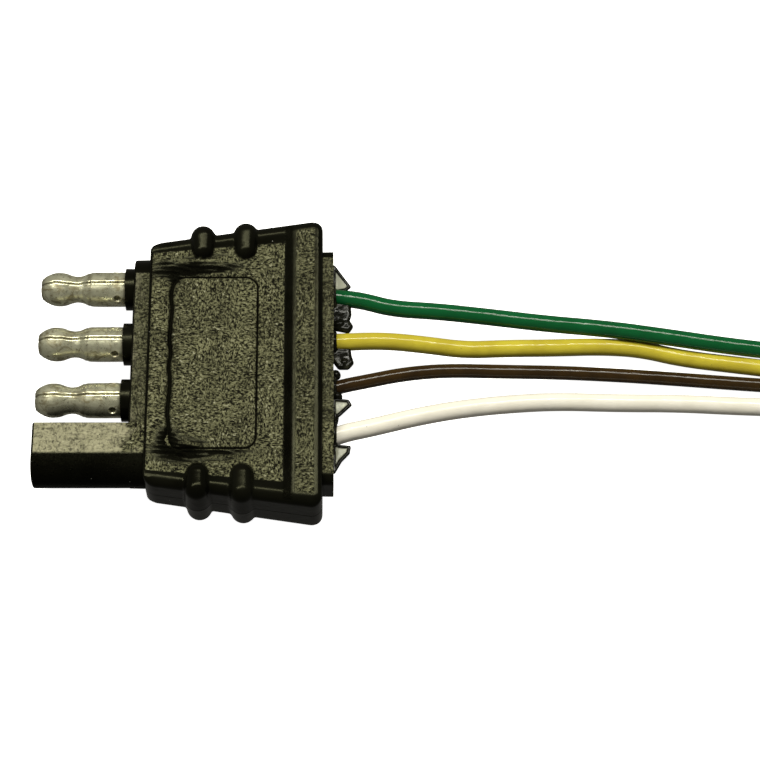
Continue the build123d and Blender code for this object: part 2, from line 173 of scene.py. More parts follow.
class Nodes:
    """A material and short calls that add its nodes, in object coordinates of one millimetre."""

    def __init__(self, name):
        self.material = bpy.data.materials.new(name)
        self.material.use_nodes = True
        self.tree = self.material.node_tree
        self.shader = self.tree.nodes["Principled BSDF"]
        self.place = self.tree.nodes.new("ShaderNodeTexCoord").outputs["Object"]
        self.place = self.scaled(1 / MM, 1 / MM, 1 / MM)

    def add(self, kind, inputs=(), **settings):
        node = self.tree.nodes.new(kind)
        for key, value in settings.items():
            setattr(node, key, value)
        for key, value in dict(inputs).items():
            self.put(node.inputs[key], value)
        return node

    def put(self, socket, value):
        """Links a node's output to a socket, or sets the socket's own value."""
        if isinstance(value, bpy.types.NodeSocket):
            self.tree.links.new(value, socket)
        elif isinstance(value, tuple) and len(value) == 3 and socket.type == "RGBA":
            socket.default_value = (*value, 1)
        else:
            socket.default_value = value

    def scaled(self, x, y, z, turn=0):
        """The coordinates stretched along each axis and turned about Z, in degrees."""
        inputs = {"Vector": self.place, "Scale": (x, y, z), "Rotation": (0, 0, radians(turn))}
        return self.add("ShaderNodeMapping", inputs).outputs["Vector"]

    def noise(self, scale, detail=3.0, rough=0.55, place=None, twist=0.0):
        inputs = {"Vector": place or self.place, "Scale": scale, "Detail": detail, "Roughness": rough,
                  "Distortion": twist}
        return self.add("ShaderNodeTexNoise", inputs).outputs["Fac"]

    def cells(self, scale, place=None):
        """Distance to the nearest of scattered points, in cells."""
        inputs = {"Vector": place or self.place, "Scale": scale}
        return self.add("ShaderNodeTexVoronoi", inputs).outputs["Distance"]

    def parts(self, vector):
        """The X, Y and Z of a vector."""
        outputs = self.add("ShaderNodeSeparateXYZ", {"Vector": vector}).outputs
        return outputs["X"], outputs["Y"], outputs["Z"]

    def band(self, value, low, high, to_low=0.0, to_high=1.0):
        """The value taken from low..high to to_low..to_high, smoothly, and held beyond."""
        inputs = {"Value": value, "From Min": low, "From Max": high, "To Min": to_low, "To Max": to_high}
        return self.add("ShaderNodeMapRange", inputs, interpolation_type="SMOOTHSTEP").outputs["Result"]

    def maths(self, operation, *values):
        return self.add("ShaderNodeMath", enumerate(values), operation=operation).outputs[0]

    def sum(self, *values):
        total = values[0]
        for value in values[1:]:
            total = self.maths("ADD", total, value)
        return total

    def times(self, a, b):
        return self.maths("MULTIPLY", a, b)

    def blend(self, share, first, second):
        """A colour between first and second."""
        node = self.add("ShaderNodeMix", data_type="RGBA")
        for socket, value in ((node.inputs[0], share), (node.inputs[6], first), (node.inputs[7], second)):
            self.put(socket, value)
        return node.outputs[2]

    def bump(self, height, depth, under=None):
        """Normals for a height of 0..1 that stands for depth millimetres."""
        inputs = {"Height": height, "Strength": 1.0, "Distance": depth * MM}
        if under:
            inputs["Normal"] = under
        return self.add("ShaderNodeBump", inputs).outputs["Normal"]

    def mask(self):
        """The value that the mesh gives each of its points."""
        return self.add("ShaderNodeAttribute", attribute_name="mask").outputs["Fac"]

    def finish(self, colour, rough, normal, **fixed):
        self.put(self.shader.inputs["Base Color"], colour)
        self.put(self.shader.inputs["Roughness"], rough)
        self.put(self.shader.inputs["Normal"], normal)
        for key, value in fixed.items():
            self.put(self.shader.inputs[key.replace("_", " ")], value)
        return self.material


def core_grain(n):
    """The share of leathery surface on the core: its flat top and underside behind the mating face and
    on the shroud, but not the pins' bosses, its sides or its rounded edges. The shroud's near side is
    dull, so its share is below 0, and the painted sheen on the shroud's top stops short of it."""
    x, y, _ = n.parts(n.place)
    facing = n.parts(n.add("ShaderNodeTexCoord").outputs["Normal"])[2]
    upright = n.maths("ABSOLUTE", facing)
    uneven = n.band(n.noise(0.8, 3.0), 0.3, 0.7, -0.0003, 0.0003)
    flat = n.band(n.sum(upright, uneven), 0.9985, 0.9999)
    behind = n.band(x, *BOSS_CLEAR_X)
    on_shroud = n.band(y, SHROUD_INNER_Y + 0.1, SHROUD_INNER_Y - 0.1)
    near_side = n.times(n.band(y, SHROUD_FLAT_Y + 0.3, SHROUD_FLAT_Y - 0.3), n.band(x, *SHROUD_ROOT_X))
    either = n.maths("MAXIMUM", behind, on_shroud)
    grained = n.times(n.times(flat, n.sum(1.0, n.times(near_side, -1.0))), either)
    grained = n.times(grained, n.sum(n.times(on_shroud, 1 - CORE_GRAIN_SHARE), CORE_GRAIN_SHARE))
    return n.sum(grained, n.times(near_side, DULL))


def shroud_top(n):
    """The share of painted sheen that makes the top of the shroud paler."""
    x = n.parts(n.place)[0]
    along = n.band(n.sum(x, n.band(n.noise(0.5, 3.0), 0.3, 0.7, -1.5, 1.5)), 1.5, -2.5)
    return n.times(n.times(along, n.band(n.noise(1.3, 3.0), 0.3, 0.6, 0.5, 1.0)), SHROUD_PALE)


def plastic_colour(n, share, fine, leather, patches, core):
    """Near-black skin, and a grain of light specks and lighter glints on dark: the specks and glints are
    painted sheen.
    """
    mottle = n.sum(n.times(fine, 0.65), n.times(leather, 0.35))
    speck = n.times(n.band(mottle, 0.43, 0.58), n.band(n.noise(0.22, 3.0, 0.6), 0.3, 0.7, 0.6, 1.0))
    glint = n.times(n.band(mottle, 0.57, 0.64), n.band(n.noise(0.5, 3.0, 0.6), 0.4, 0.6, 0.2, 1.0))
    # The light specks and glints are painted sheen and painted glints
    lit = n.blend(glint, n.blend(speck, *GRAIN_AND_SHEEN), GLINT)
    if core:
        # Painted sheen on top of the shroud
        pale = n.times(shroud_top(n), n.band(mottle, 0.38, 0.5, 0.5, 1.0))
        lit = n.blend(pale, lit, PAINTED_SHROUD_SHEEN)
    dust = n.band(n.cells(0.42), 0.035, 0.02)
    colour = n.blend(share, n.blend(patches, *SKIN), lit)
    return n.blend(n.times(dust, 0.8), colour, DUST), speck


def moulded_plastic(name, core):
    """Black plastic from a spark-eroded mould: leathery where its share of grain is 1, glossy where it
    is 0 and dull below. The share is worked out for the core, which is pitted too, and is the mesh's
    mask for the shells."""
    n = Nodes(name)
    share = core_grain(n) if core else n.mask()
    leather = n.noise(2.6, 4.0, 0.62, twist=0.5)
    slanted = n.noise(1.0, 3.0, 0.6, n.scaled(2.2, 4.8, 3, 32), 0.4)
    crossed = n.noise(1.0, 3.0, 0.6, n.scaled(5.0, 2.4, 3, 25), 0.4)
    lay = n.band(n.noise(0.35, 2.0), 0.42, 0.58)
    fine = n.add("ShaderNodeMix", {0: lay, 2: slanted, 3: crossed}).outputs[0]
    streaks = n.noise(1.0, 3.0, 0.6, n.scaled(0.45, 2.6, 1, 8))
    patches = n.band(n.noise(0.16, 2.0), 0.35, 0.65)
    worn = n.band(n.noise(0.3, 3.0, 0.6, twist=0.8), 0.52, 0.7)
    grain = n.sum(n.times(leather, 0.7), n.times(fine, 0.7), n.times(n.times(streaks, worn), 0.5), -0.75)
    height = n.times(grain, share)
    if core:
        height = n.sum(height, n.times(n.band(n.cells(0.95), 0.13, 0.07), -1.6))
    scratch = n.band(n.cells(0.35, n.scaled(0.16, 2.2, 1, 33)), 0.03, 0.0)
    normal = n.bump(n.times(scratch, -1.0), SCRATCH_DEPTH, n.bump(height, GRAIN_DEPTH))
    normal = n.bump(n.noise(0.5, 2.0), SKIN_DEPTH, normal)
    colour, speck = plastic_colour(n, share, fine, leather, patches, core)
    rough = n.sum(n.band(share, 0, 1, 0.2, 0.34), n.band(patches, 0, 1, 0.0, 0.06))
    shine = n.times(n.band(share, 0, 1), n.band(speck, 0, 1, *SHINE_GRAIN))
    shine = n.sum(n.band(share, DULL, 0, SHINE_DULL, SHINE_SMOOTH), shine)
    return n.finish(colour, rough, normal, Specular_Tint=PLASTIC_SHEEN, Specular_IOR_Level=shine)


def tinned_metal(name):
    """Dull tin plate on rolled brass, with brown stains, hazy patches and fine rubbing marks, and darker
    where the mesh's mask says."""
    n = Nodes(name)
    haze = n.noise(0.55, 4.0, 0.6, twist=0.6)
    stains = n.band(n.noise(0.62, 5.0, 0.66, twist=1.0), 0.48, 0.64)
    spots = n.band(n.noise(1.9, 3.0, 0.6), 0.6, 0.72)
    rubbed = n.noise(1.0, 4.0, 0.6, n.scaled(0.5, 7.0, 7.0))
    colour = n.blend(n.times(stains, 0.75), n.blend(haze, *TIN), TIN_STAIN)
    colour = n.blend(n.times(spots, 0.6), colour, TIN_SPOT)
    colour = n.blend(n.times(n.mask(), 0.8), colour, TIN_DARKER)
    rough = n.sum(n.band(haze, 0.3, 0.7, 0.25, 0.38), n.times(stains, 0.15))
    normal = n.bump(rubbed, 0.012, n.bump(n.noise(1.3, 3.0), 0.035))
    return n.finish(colour, rough, normal, Metallic=0.78)


def pvc(name, base, deep):
    """Glossy extruded insulation: faint drawn lines along it, dull rubbed patches and a few specks."""
    n = Nodes(name)
    drawn = n.noise(1.0, 3.0, 0.5, n.scaled(0.12, 3.0, 3.0))
    lumps = n.noise(0.28, 2.0)
    rubbed = n.band(n.noise(0.5, 4.0, 0.6, n.scaled(0.5, 1.6, 1.6)), 0.56, 0.7)
    specks = n.band(n.cells(0.5), 0.05, 0.03)
    colour = n.blend(n.band(lumps, 0.3, 0.7), base, deep)
    colour = n.blend(n.times(specks, 0.45), colour, PVC_SPECK)
    rough = n.sum(n.band(drawn, 0.3, 0.7, 0.09, 0.14), n.times(rubbed, 0.14))
    normal = n.bump(drawn, 0.012, n.bump(lumps, 0.12))
    return n.finish(colour, rough, normal, Specular_IOR_Level=0.28)


def copper(name):
    """Bare copper strand, dulled in patches."""
    n = Nodes(name)
    tarnish = n.band(n.noise(0.9, 4.0, 0.6), 0.45, 0.7)
    rough = n.band(tarnish, 0, 1, 0.22, 0.42)
    return n.finish(n.blend(tarnish, *BARE_COPPER), rough, n.bump(n.noise(3.0, 3.0), 0.02), Metallic=1.0)


def set_potting(name):
    """Glossy black resin, pale where the mesh's mask says that it is thin enough to let light through."""
    n = Nodes(name)
    milky = n.band(n.noise(0.6, 3.0, 0.6), 0.5, 0.72)
    thin = n.times(n.mask(), n.band(milky, 0, 1, 0.55, 1.0))
    colour = n.blend(thin, n.blend(milky, *RESIN), THIN_RESIN)
    rough = n.band(n.noise(1.2, 3.0), 0.3, 0.7, 0.06, 0.2)
    normal = n.bump(n.noise(0.9, 2.0), 0.04)
    return n.finish(colour, rough, normal, Specular_IOR_Level=0.12)


def woven_strap(name):
    """Black hook-and-loop strap: a tight weave of rounded threads."""
    n = Nodes(name)
    waves = []
    for turn in (45, -45):
        inputs = {"Vector": n.scaled(1, 1, 1, turn), "Scale": 1.3, "Distortion": 0.6, "Detail": 1.0}
        waves.append(n.add("ShaderNodeTexWave", inputs).outputs["Fac"])
    weave = n.times(*waves)
    fuzz = n.noise(5.0, 3.0, 0.7)
    rough = n.band(fuzz, 0.3, 0.7, 0.7, 0.9)
    normal = n.bump(weave, 0.12, n.bump(fuzz, 0.05))
    return n.finish(n.blend(weave, *WEAVE), rough, normal, Sheen_Weight=0.3)


SHELL_PLASTIC = moulded_plastic("shell_plastic", core=False)
CORE_PLASTIC = moulded_plastic("core_plastic", core=True)
TINNED = tinned_metal("tinned_contact")
COPPER = copper("copper_strand")
POTTING = set_potting("potting")
STRAP = woven_strap("tie")
INSULATION = {colour: pvc(f"insulation_{colour}", *PVC[colour]) for colour in COLOURS}


def dress(piece, material):
    """Gives an object one material, in its slots if it has them."""
    if piece.material_slots:
        for slot in piece.material_slots:
            slot.link = "OBJECT"
            slot.material = material
    else:
        piece.data.materials.append(material)


# Mesh helpers


def smooth_between(low, high, value):
    """0 at low and beyond, 1 at high and beyond, and a smooth step between."""
    t = np.clip((value - low) / (high - low), 0, 1)
    return t * t * (3 - 2 * t)


def set_mask(data, values):
    """Gives each point of a mesh the value that its material reads as its mask."""
    layer = data.attributes.new("mask", "FLOAT", "POINT")
    layer.data.foreach_set("value", np.asarray(values, np.float32))


def mesh_object(name, points, faces, sharp_angle=40, mask=None):
    """A mesh object from points in millimetres, smooth but for its sharp edges, with an optional
    per-point value for its material."""
    data = bpy.data.meshes.new(name)
    data.from_pydata((np.asarray(points) * MM).tolist(), [], [tuple(int(i) for i in f) for f in faces])
    data.validate()
    if mask is not None:
        set_mask(data, mask)
    data.shade_smooth()
    data.set_sharp_from_angle(angle=radians(sharp_angle))
    piece = bpy.data.objects.new(name, data)
    bpy.context.scene.collection.objects.link(piece)
    return piece


def grid_faces(index, flip=False):
    """Quads over a 2-D array of point numbers."""
    a, b, c, d = index[:-1, :-1], index[1:, :-1], index[1:, 1:], index[:-1, 1:]
    quads = np.stack([a, b, c, d], axis=-1).reshape(-1, 4)
    return quads[:, ::-1] if flip else quads


# Wires


def lane_height(colour, turn):
    """Height of a wire's middle after that many turns: it climbs a layer late in each turn but the last."""
    whole = int(turn)
    climb = smooth_between(CLIMB_START, CLIMB_START + CLIMB_TURNS, turn - whole)
    layer = min(whole + climb, LAYERS[colour] - 1)
    return COIL_BOTTOM + WIRE_D[colour] / 2 + layer * (WIRE_D[colour] + LANE_GAP)


def lane_point(colour, turn, radius):
    """A point of a lane, counted in turns from where the wire comes in, at the given radius."""
    angle = 2 * pi * turn
    return (COIL_X + radius * sin(angle), COIL_Y + radius * cos(angle), lane_height(colour, max(turn, 0)))


def coil_points(colour):
    """Control points of a wire's turns, outside its lane by what the spline cuts off their corners."""
    step = 1 / STEPS_PER_TURN
    outside = LANE_R[colour] / cos(pi / STEPS_PER_TURN)
    count = int(round(TURNS[colour] / step))
    points = [lane_point(colour, (i - 0.5) * step, outside) for i in range(count + 1)]
    return points + [lane_point(colour, TURNS[colour], LANE_R[colour])]


def make_wire(colour):
    """One wire's insulation, along its route and then round its lane of the coil."""
    data = bpy.data.curves.new(f"wire_{colour}", "CURVE")
    data.dimensions = "3D"
    spline = data.splines.new("NURBS")
    points = ROUTES[colour] + coil_points(colour)
    spline.points.add(len(points) - 1)
    for place, point in zip(spline.points, points):
        place.co = (*(Vector(point) * MM), 1)
    spline.order_u = 3
    spline.use_endpoint_u = True
    spline.resolution_u = 12
    data.bevel_depth = WIRE_D[colour] / 2 * MM
    data.bevel_resolution = 8
    data.use_fill_caps = True
    wire = bpy.data.objects.new(f"cord_{colour}", data)
    bpy.context.scene.collection.objects.link(wire)
    dress(wire, INSULATION[colour])
    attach(wire, "root")
    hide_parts(f"wire_{colour}", f"coil_{colour}")
    return wire


# Bare ends

STRIP_LENGTH = 6.0
STRAND_COUNT = 7
STRAND_R = 0.23
STRAND_LAY = 9.0
STRAND_START = 0.6
STRAND_SPACING = 2.05
STRAND_SIDES, STRAND_STEPS = 10, 40
STRAND_END = 0.55
SPLAY = (0.1, 0.5)


def strand_mesh(path):
    """Points and faces of one strand, a closed tube along a path of points with narrower ends."""
    path = np.asarray(path, float)
    along = np.gradient(path, axis=0)
    along /= np.linalg.norm(along, axis=1)[:, None]
    side = np.cross(along, (0, 0, 1))
    side /= np.linalg.norm(side, axis=1)[:, None]
    up = np.cross(side, along)
    turn = np.linspace(0, 2 * pi, STRAND_SIDES, endpoint=False)
    radius = np.full(len(path), STRAND_R)
    radius[0] = radius[-1] = STRAND_R * STRAND_END
    around = side[:, None] * np.cos(turn)[None, :, None] + up[:, None] * np.sin(turn)[None, :, None]
    points = (path[:, None] + around * radius[:, None, None]).reshape(-1, 3)
    index = np.arange(len(points)).reshape(len(path), STRAND_SIDES)
    index = np.column_stack([index, index[:, 0]])
    return points, list(grid_faces(index, flip=True)) + [index[0, :-1][::-1], index[-1, :-1]]


def joined(parts):
    """One set of points and faces from several."""
    points, faces, count = [], [], 0
    for part_points, part_faces in parts:
        points.append(part_points)
        faces += [[i + count for i in face] for face in part_faces]
        count += len(part_points)
    return np.concatenate(points), faces


def make_bare_end(colour, seed):
    """The stripped strands that follow on from the wire's last turn, twisted and a little splayed."""
    random = np.random.default_rng(seed)
    s = np.linspace(-STRAND_START, STRIP_LENGTH, STRAND_STEPS)
    turn = TURNS[colour] * 2 * pi + s / LANE_R[colour]
    height = lane_height(colour, TURNS[colour])
    strands = []
    for strand in range(STRAND_COUNT):
        splay = 1 + random.uniform(*SPLAY) * (np.maximum(s, 0) / STRIP_LENGTH) ** 2
        offset = (STRAND_SPACING * STRAND_R if strand else 0) * splay
        twist = 2 * pi * (s / STRAND_LAY + strand / (STRAND_COUNT - 1))
        radius = LANE_R[colour] + offset * np.cos(twist)
        path = np.column_stack([
            COIL_X + radius * np.sin(turn), COIL_Y + radius * np.cos(turn), height + offset * np.sin(twist),
        ])
        reach = len(s) - int(random.integers(0, 3))
        strands.append(strand_mesh(path[:reach]))
    points, faces = joined(strands)
    piece = mesh_object(f"strands_{colour}", points, faces, sharp_angle=60)
    dress(piece, COPPER)
    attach(piece, "root")
    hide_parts(f"bare_end_{colour}")
    return piece


for seed, colour in enumerate(COLOURS):
    make_wire(colour)
    make_bare_end(colour, seed)


# Shells

SHELL_X, SHELL_MIDDLE_X, SHELL_END_X = 2.3, 14, 27.3
SHELL_FRONT_W, SHELL_MIDDLE_W, SHELL_REAR_W = 18.75, 20.6, 22.42
SHELL_SHIFT_Y = 0.2
SHELL_FLOOR_Z = 4.2
RAIL_FRONT_Z, RAIL_REAR_Z = 4.3, 4.95
FRONT_ROUND, RAIL_ROUND, REAR_ROUND = 0.4, 1.45, 0.95
PLAN_ROUND_FRONT, PLAN_ROUND_REAR = 1.7, 1.8
RAIL_SLOPE = (0.6, 2.2)
UPRIGHT_Z = 1.0
BAR_X, BAR_CROWN_X = 21.6, 23.1
BAR_GRAIN = 0.8
BAR_GRAIN_END_X = (26.25, 25.95)
RIB_X = (9.9, 16.1)
RIB_INNER_Y = 17.45
RIB_TOP_Z = 3.9
RIB_END_R, RIB_BEND_R, RIB_SIDE_R = 1.6, 1.8, 1.95
RIB_STAND = (1.5, 1.05)
RIB_BLEND = 0.35
RIB_REACH_X, RIB_FROM_Y, RIB_TALLEST = 3.2, 14.5, 2.6
RIB_PASSES, RIB_PASS_SHARE = 40, 0.8
PARTING_BEVEL = 0.16
PANEL_X = (5.65, 17.9)
PANEL_Y = (-13.5, 12.9)
PANEL_ROUND = 1.7
PANEL_RISE = 0.05
GROOVE_DEPTH, GROOVE_DEEPER = 0.26, 0.24
GROOVE_WIDTH, GROOVE_WIDER = 0.14, 0.2
# Strength of the painted shade in the grooves, dips and along the front edge
PAINTED_SHADE = 1.6
TINY = 1e-9

# Dips and ridges in the upper floor: middle x, y, half length, half width, turn, height
SINKS = [
    (7.6, 14.2, 3.6, 0.72, 4, -0.42), (5.9, 13.3, 0.8, 0.9, 25, -0.25), (9.3, 15.5, 4.2, 0.3, 4, 0.14),
    (12.9, 14.5, 2.0, 0.5, 8, -0.14), (4.6, 15.2, 1.4, 0.4, 5, -0.12), (10.0, 16.3, 3.5, 0.3, 6, -0.08),
    (7.3, -14.2, 2.8, 0.8, -6, -0.5), (5.7, -12.5, 1.1, 1.4, 20, -0.38), (7.7, -12.9, 1.9, 0.26, -7, 0.2),
    (9.5, -12.4, 1.6, 0.3, -14, -0.1), (12.4, -14.2, 3.6, 0.3, 1, -0.14), (6.6, -15.3, 2.6, 0.35, -6, -0.1),
    (13.0, -15.2, 3.0, 0.2, 4, -0.08),
]

# The hollow inside the shells: x, half width and corner radius at each of its sections, and half height
CORE_SECTIONS = (
    (SHELL_X - 1, 17.5, 3.3), (14.0, 17.84, 3.3), (14.01, 17.84, 1.4), (SHELL_END_X + 1, 18.2, 1.4),
)
CORE_HALF_Z = 3.5


def shell_half_width(x):
    return np.interp(x, (SHELL_X, SHELL_END_X), (SHELL_FRONT_W, SHELL_REAR_W))


def spaced(stops, steps):
    """Stations from stop to stop, each stretch divided evenly by about its own step."""
    stations = [np.array([stops[0]])]
    for low, high, step in zip(stops, stops[1:], steps):
        stations.append(np.linspace(low, high, max(1, round((high - low) / step)) + 1)[1:])
    return np.concatenate(stations)


def edge_radius(e_x, e_y, front):
    """How round the shell's upper edge is, from its side to its front or back."""
    towards_side = smooth_between(0.15, 0.85, np.arctan2(e_y, e_x) / (pi / 2))
    end_round = np.where(front, FRONT_ROUND, REAR_ROUND)
    return end_round + (RAIL_ROUND - end_round) * towards_side


def rounded_slab(x, y, z):
    """Moves points on the surface of a plain box, SHELL_MIDDLE_W wide each side, to the shell's
    rounded outline and upper edge. Returns the new points and how far inside the outline each was."""
    front = x < (SHELL_X + SHELL_END_X) / 2
    plan_round = np.where(front, PLAN_ROUND_FRONT, PLAN_ROUND_REAR)
    centre_x = np.clip(x, SHELL_X + PLAN_ROUND_FRONT, SHELL_END_X - PLAN_ROUND_REAR)
    centre_y = np.clip(y, plan_round - SHELL_MIDDLE_W, SHELL_MIDDLE_W - plan_round)
    e_x, e_y = x - centre_x, y - centre_y
    inset = plan_round - np.maximum(abs(e_x), abs(e_y))
    radius = edge_radius(abs(e_x), abs(e_y), front)
    top = RAIL_REAR_Z
    near_edge = (inset < radius) & (z > top - radius)
    d_in, d_up = np.minimum(inset - radius, 0), np.maximum(z - top + radius, 0)
    length = np.maximum(np.hypot(d_in, d_up), TINY)
    new_inset = np.where(near_edge, radius + d_in / length * radius, inset)
    new_z = np.where(near_edge, top - radius + d_up / length * radius, z)
    reach = np.maximum(abs(e_x), abs(e_y))
    scale = np.where(reach > TINY, (plan_round - new_inset) / np.maximum(reach, TINY), 0)
    e_x, e_y = e_x * scale, e_y * scale
    corner = np.maximum(abs(e_x), abs(e_y)) / np.maximum(np.hypot(e_x, e_y), TINY)
    return centre_x + e_x * corner, centre_y + e_y * corner, new_z, new_inset


def box_surface(x_stations, y_stations, z_stations):
    """Points and quads of the top, sides and underside of a box, joined into one closed surface."""
    nx, ny = len(x_stations), len(y_stations)
    gx, gy = np.meshgrid(x_stations, y_stations, indexing="ij")
    points = [np.stack([gx, gy, np.full_like(gx, z_stations[-1])], -1).reshape(-1, 3)]
    top = np.arange(nx * ny).reshape(nx, ny)
    rim = np.concatenate([top[:, 0], top[-1, 1:], top[-2::-1, -1], top[0, -2:0:-1]])
    ring_xy = points[0][rim][:, :2]
    faces = [grid_faces(top)]
    count, upper = nx * ny, np.append(rim, rim[0])
    for z in z_stations[-2::-1]:
        points.append(np.column_stack([ring_xy, np.full(len(rim), z)]))
        lower = np.arange(count, count + len(rim))
        lower = np.append(lower, lower[0])
        faces.append(grid_faces(np.stack([upper, lower])))
        count, upper = count + len(rim), lower
    return np.concatenate(points), faces, upper[:-1]


def rib_distance(points, x, stand, side):
    """Distance from points to the surface of a rib that wraps round the shell's long side."""
    outer = shell_half_width(x) + stand - RIB_SIDE_R
    y, z = points[:, 1] * side, points[:, 2]
    along = np.clip(y, RIB_INNER_Y, outer)
    flat = np.hypot(y - along, z - RIB_TOP_Z)
    radius_flat = np.interp(along, (RIB_INNER_Y, outer), (RIB_END_R, RIB_BEND_R))
    down = np.clip(z, 0, RIB_TOP_Z)
    upright = np.hypot(y - outer, z - down)
    radius_up = np.interp(down, (0, RIB_TOP_Z), (RIB_SIDE_R, RIB_BEND_R))
    dx = points[:, 0] - x
    return np.minimum(np.hypot(flat, dx) - radius_flat, np.hypot(upright, dx) - radius_up)


def raise_ribs(points, normals):
    """Pushes points out along their normals to the blended surface of the four ribs. Returns how far."""
    raised = np.zeros(len(points))
    for x, stand in zip(RIB_X, RIB_STAND):
        for side in (-1, 1):
            near = (abs(points[:, 0] - x) < RIB_REACH_X) & (points[:, 1] * side > RIB_FROM_Y)
            start, way = points[near], normals[near]
            t = np.full(len(start), RIB_TALLEST)
            for _ in range(RIB_PASSES):
                rib = rib_distance(start + way * t[:, None], x, stand, side)
                mix = np.clip(0.5 + 0.5 * (rib - t) / RIB_BLEND, 0, 1)
                t -= RIB_PASS_SHARE * (rib * (1 - mix) + t * mix - RIB_BLEND * mix * (1 - mix))
            points[near] = start + way * np.maximum(t, 0)[:, None]
            raised[near] = np.maximum(raised[near], t)
    return raised


def panel_distance(x, y):
    """Distance outside the label panel's rounded outline, negative inside."""
    half = np.array([PANEL_X[1] - PANEL_X[0], PANEL_Y[1] - PANEL_Y[0]]) / 2
    dx = abs(x - sum(PANEL_X) / 2) - half[0] + PANEL_ROUND
    dy = abs(y - sum(PANEL_Y) / 2) - half[1] + PANEL_ROUND
    outside = np.hypot(np.maximum(dx, 0), np.maximum(dy, 0))
    return outside + np.minimum(np.maximum(dx, dy), 0) - PANEL_ROUND


def floor_marks(x, y, flaws):
    """Height of the marks on a shell's floor and their painted shade, black skin without grain: the panel's
    groove and, on the upper shell, the dips and ridges where the plastic has sunk by two of the panel's
    corners."""
    d = panel_distance(x, y)
    front = smooth_between(1.0, 0.5, abs(x - PANEL_X[0])) * smooth_between(13.6, 12.6, abs(y))
    wander = 0.12 * front * np.sin(1.1 * y + 0.9 * np.sin(0.6 * y))
    groove = np.exp(-((d - 0.06 + wander) / (GROOVE_WIDTH + GROOVE_WIDER * front)) ** 2)
    relief = PANEL_RISE * smooth_between(0.05, -0.1, d) - (GROOVE_DEPTH + GROOVE_DEEPER * front) * groove
    # Painted shade in the groove and the dips: black skin without grain
    painted_shade = groove
    if flaws:
        wave = np.sin(1.7 * x + 0.6 * np.sin(1.1 * y)) * 0.3 + 1
        streak = np.sin(9.0 * y + 1.4 * np.sin(0.9 * x) + 0.8 * x)
        for cx, cy, rx, ry, turn, depth in SINKS:
            c, s = cos(radians(turn)), sin(radians(turn))
            u = ((x - cx) * c + (y - cy) * s) / rx
            v = ((y - cy) * c - (x - cx) * s) / ry
            mark = np.exp(-u * u - v * v)
            relief = relief + depth * (wave + 0.35 * streak) * mark
            if depth < 0:
                painted_shade = np.maximum(painted_shade, (1.6 + 0.5 * streak) * np.sqrt(mark) * min(1, -5 * depth))
    return relief, np.clip(painted_shade, 0, 1)


def shell_points(flaws):
    """Points, faces and grain mask of the upper shell's solid outside, before its hollow is cut. Its
    mesh is finer at the panel's groove and the shell's edges."""
    x_stations = spaced(
        [SHELL_X, SHELL_X + 0.6, 5.1, 6.1, 17.4, 18.3, 21.3, 23.5, 25.9, SHELL_END_X],
        [0.1, 0.2, 0.06, 0.17, 0.06, 0.25, 0.13, 0.28, 0.11],
    )
    y_steps = [0.5, 0.18, 0.06, 0.15, 0.16, 0.13]
    y_stations = np.concatenate([
        -spaced([0, 10.0, 13.1, 14.5, 15.6, 17.4, SHELL_MIDDLE_W], y_steps)[:0:-1],
        spaced([0, 10.0, 12.5, 13.9, 15.6, 17.4, SHELL_MIDDLE_W], y_steps),
    ])
    z_stations = spaced([0, 0.16, 2.9, RAIL_REAR_Z], [0.08, 0.3, 0.15])
    points, faces, bottom = box_surface(x_stations, y_stations, z_stations)
    x, y, z, inset = rounded_slab(*points.T)
    y = y * shell_half_width(x) / SHELL_MIDDLE_W
    slope = np.interp(x, (SHELL_X, SHELL_END_X), RAIL_SLOPE)
    crown = np.interp(x, (SHELL_X, SHELL_END_X), (RAIL_FRONT_Z, RAIL_REAR_Z))
    z = z * crown / RAIL_REAR_Z
    # The floor is lowered between the rails, as far as the bar
    side_inset = shell_half_width(x) - abs(y)
    lowered = smooth_between(0, 1, (side_inset - RAIL_ROUND) / slope)
    lowered *= smooth_between(BAR_CROWN_X, BAR_X, x)
    on_top = inset > FRONT_ROUND * 0.99
    z = np.where(on_top, z - (crown - SHELL_FLOOR_Z) * lowered, z)
    flat = smooth_between(0.92, 1.0, lowered)
    relief, painted_shade = floor_marks(x, y, flaws)
    z = np.where(on_top, z + flat * relief, z)
    # Grain on the floor and the bar's crown, and painted shade in the grooves, dips and along the front
    # edge
    bar = smooth_between(BAR_CROWN_X + 0.2, BAR_CROWN_X + 0.6, x) * smooth_between(*BAR_GRAIN_END_X, x)
    bar *= smooth_between(1.3, 2.0, side_inset)
    # Painted shadow of the gap along the shell's front edge
    painted_shade = np.maximum(painted_shade, smooth_between(SHELL_X + 0.5, SHELL_X + 0.25, x))
    rise = smooth_between(BAR_X, BAR_X + 0.4, x) * smooth_between(BAR_CROWN_X + 0.2, BAR_CROWN_X - 0.3, x)
    grained = flat * (1 - PAINTED_SHADE * painted_shade) + BAR_GRAIN * bar + DULL * rise * on_top
    mask = np.where(on_top | (inset > FRONT_ROUND * 0.5), grained, 0)
    faces.append([bottom[::-1]])
    return np.column_stack([x, y, z]), [f for group in faces for f in group], mask


def core_cutter():
    """The core's outside, a little longer than the shells, to hollow them with."""
    outline = []
    for corner_y, corner_z, first in ((1, 1, 0), (-1, 1, 90), (-1, -1, 180), (1, -1, 270)):
        for angle in np.radians(first + np.linspace(0, 90, 9)):
            outline.append((corner_y, corner_z, cos(angle), sin(angle)))
    rings = []
    for x, half, edge in CORE_SECTIONS:
        rings.append([
            (x, sy * (half - edge) + c * edge, sz * (CORE_HALF_Z - edge) + s * edge)
            for sy, sz, c, s in outline
        ])
    points = np.array(rings).reshape(-1, 3)
    index = np.arange(len(points)).reshape(len(rings), -1)
    index = np.column_stack([index, index[:, 0]])
    faces = [list(f) for f in grid_faces(index, flip=True)]
    faces += [list(index[0, :-1][::-1]), list(index[-1, :-1])]
    return mesh_object("core_cutter", points, faces)


